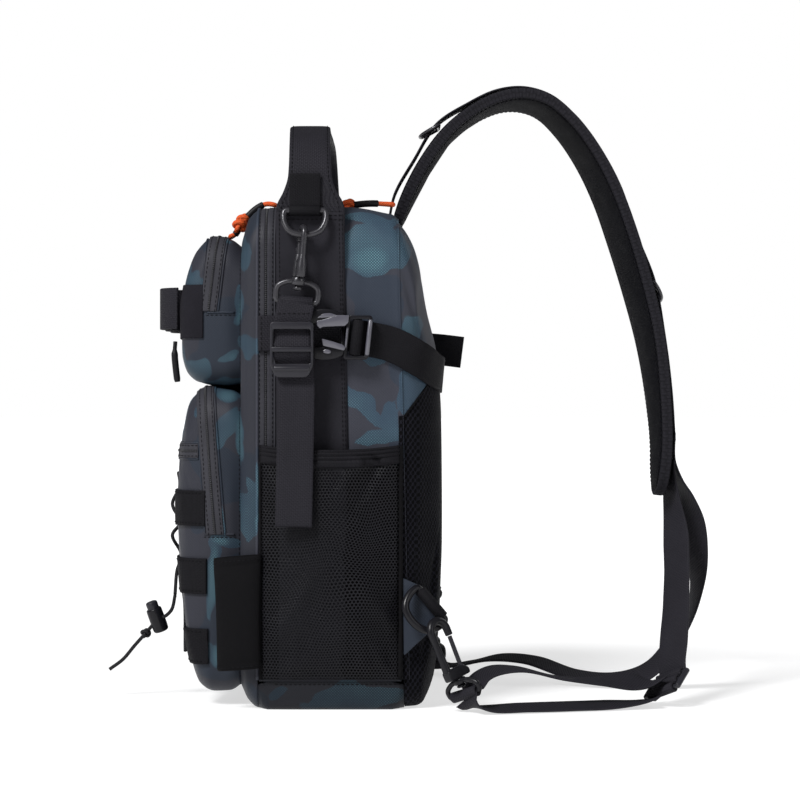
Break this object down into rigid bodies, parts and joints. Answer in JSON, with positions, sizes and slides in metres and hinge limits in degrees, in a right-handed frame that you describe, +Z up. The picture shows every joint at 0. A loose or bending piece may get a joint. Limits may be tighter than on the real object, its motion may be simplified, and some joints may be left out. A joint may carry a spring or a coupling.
{
  "type": "fishing backpack",
  "caption": "Upright single-shoulder fishing backpack with front pockets, mesh side pockets, carry handle, padded shoulder strap, snap hooks and compression straps; stands on its flat base.",
  "frame": {"origin": "middle of the flat base that the bag stands on", "axes": "+Z up, +X towards the wearer's back, so the pockets face -X; -Y is the side with the hanging strap"},
  "size_m": [0.4424, 0.3059, 0.4495],
  "materials": {
    "camo": "coated woven fabric, satin",
    "webbing": "ribbed woven webbing, matt",
    "zip": "coated zip tape, satin",
    "mesh": "open knitted mesh, matt",
    "pad": "padded air mesh, matt",
    "cord": "braided elastic cord, matt",
    "orange": "braided cord, matt",
    "plastic": "moulded, semi-matt",
    "metal": "dark coated metal, satin"
  },
  "bodies": {
    "bag": {"anchor_dring_far": "plastic", "anchor_dring_near": "plastic", "anchor_tab_far": "camo", "anchor_tab_near": "camo", "back_mesh_pad": "mesh", "back_yoke": "camo", "base_panel": "camo", "buckle_far": "plastic", "buckle_female": "plastic", "buckle_male": "plastic", "bungee_lacing": "cord", "bungee_tail": "cord", "carry_handle": "webbing", "compress_far": "webbing", "compress_front": "webbing", "compress_rear": "webbing", "cord_lock_barrel": "plastic", "dring_loop": "webbing", "front_panel": "camo", "gusset_shell": "camo", "hang_strap": "webbing", "hook_panel": "webbing", "hook_panel_pull": "cord", "ladder_lock": "plastic", "lower_front_zip": "zip", "lower_hook": "plastic", "lower_hook_eye": "plastic", "lower_hook_far": "plastic", "lower_pocket": "camo", "lower_pocket_zip": "zip", "main_zip": "zip", "mesh_pocket_far": "mesh", "mesh_pocket_near": "mesh", "molle_row_1": "webbing", "molle_row_2": "webbing", "molle_row_3": "webbing", "pad_ring_lower": "metal", "pad_ring_upper": "metal", "pad_webbing": "webbing", "shoulder_pad": "pad", "side_band_far": "webbing", "side_band_near": "webbing", "side_dring": "metal", "side_hook": "metal", "side_hook_eye": "metal", "strap_leg_far": "webbing", "strap_leg_floor": "webbing", "strap_leg_loop": "webbing", "strap_leg_near": "webbing", "strap_slider": "plastic", "tool_sleeve": "webbing", "upper_pocket": "camo", "upper_pocket_zip": "zip", "upper_webbing": "webbing", "zip_pull_back": "orange", "zip_pull_front": "orange", "zip_pull_pocket": "orange"},
    "cord_lock_button": {"cord_lock_button": "plastic"},
    "side_hook_gate": {"side_hook_gate": "metal"},
    "lower_hook_gate": {"lower_hook_gate": "plastic"}
  },
  "joints": [
    {"name": "cord_lock_press", "type": "slide", "parent": "bag", "child": "cord_lock_button", "axis": [0.3301, 0.12, -0.9363], "range_m": [0, 0.003], "stiffness_N_per_m": 500},
    {"name": "side_hook_slide", "type": "slide", "parent": "bag", "child": "side_hook_gate", "axis": [-0.0899, 0, -0.996], "range_m": [0, 0.0055], "stiffness_N_per_m": 500},
    {"name": "lower_hook_hinge", "type": "hinge", "parent": "bag", "child": "lower_hook_gate", "pos_m": [0.08956, -0.13387, 0.03145], "axis": [0.6602, -0.6973, 0.2791], "range_deg": [0, 15], "stiffness_Nm_per_rad": 0.05}
  ]
}
